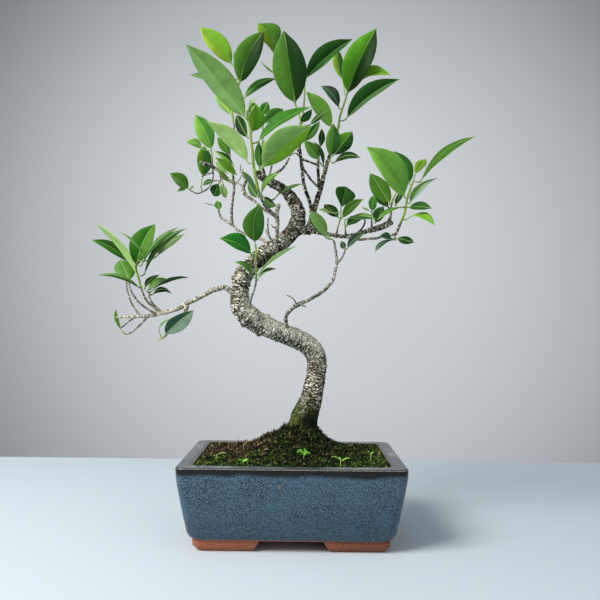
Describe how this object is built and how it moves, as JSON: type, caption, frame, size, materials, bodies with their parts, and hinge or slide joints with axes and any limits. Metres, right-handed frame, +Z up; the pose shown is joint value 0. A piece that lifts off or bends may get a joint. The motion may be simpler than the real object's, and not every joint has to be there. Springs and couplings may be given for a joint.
{
  "type": "bonsai tree in a pot",
  "caption": "S-shaped fig bonsai with long side branches and glossy oval leaves, standing in mossy soil in a rectangular blue glazed pot with corner feet.",
  "frame": {"origin": "on the table, under the middle of the whole plant's bounding box", "axes": "+Z up, -Y to the front that the picture shows, +X to its right, along the pot's long side"},
  "size_m": [0.3776, 0.1594, 0.5284],
  "materials": {
    "glazed_pot": "glossy speckled blue glaze, bare terracotta feet",
    "drain_mesh": "moulded plastic mesh",
    "soil": "damp dark soil",
    "moss": "living moss, dark with brighter tufts",
    "bark": "pale grey wrinkled bark, mossy at the foot",
    "foliage": "satin green leaves with paler midribs",
    "seedling": "soft bright green"
  },
  "bodies": {
    "root": {"back_bud_shoot": "foliage", "back_crown_shoot": "foliage", "back_drop_shoot": "foliage", "back_left_shoot": "foliage", "back_top_shoot": "foliage", "centre_crown_shoot": "foliage", "clover_seedling": "seedling", "drain_mesh_left": "drain_mesh", "drain_mesh_right": "drain_mesh", "far_left_back_shoot": "foliage", "far_left_shoot": "foliage", "forked_seedling": "seedling", "front_shoot": "foliage", "inner_crown_shoot": "foliage", "left_back_shoot": "foliage", "left_hanging_shoot": "foliage", "left_inner_shoot": "foliage", "left_main_shoot": "foliage", "left_round_shoot": "foliage", "left_seedling": "seedling", "left_tip_shoot": "foliage", "low_left_seedling": "seedling", "lower_shoot": "foliage", "middle_right_shoot": "foliage", "middle_shoot": "foliage", "moss": "moss", "pot": "glazed_pot", "right_back_shoot": "foliage", "right_crown_shoot": "foliage", "right_front_shoot": "foliage", "right_low_shoot": "foliage", "right_mid_shoot": "foliage", "right_seedling": "seedling", "rising_shoot": "foliage", "rising_side_shoot": "foliage", "soil": "soil", "trio_low_shoot": "foliage", "trio_shoot": "foliage", "trunk": "bark"}
  },
  "joints": []
}
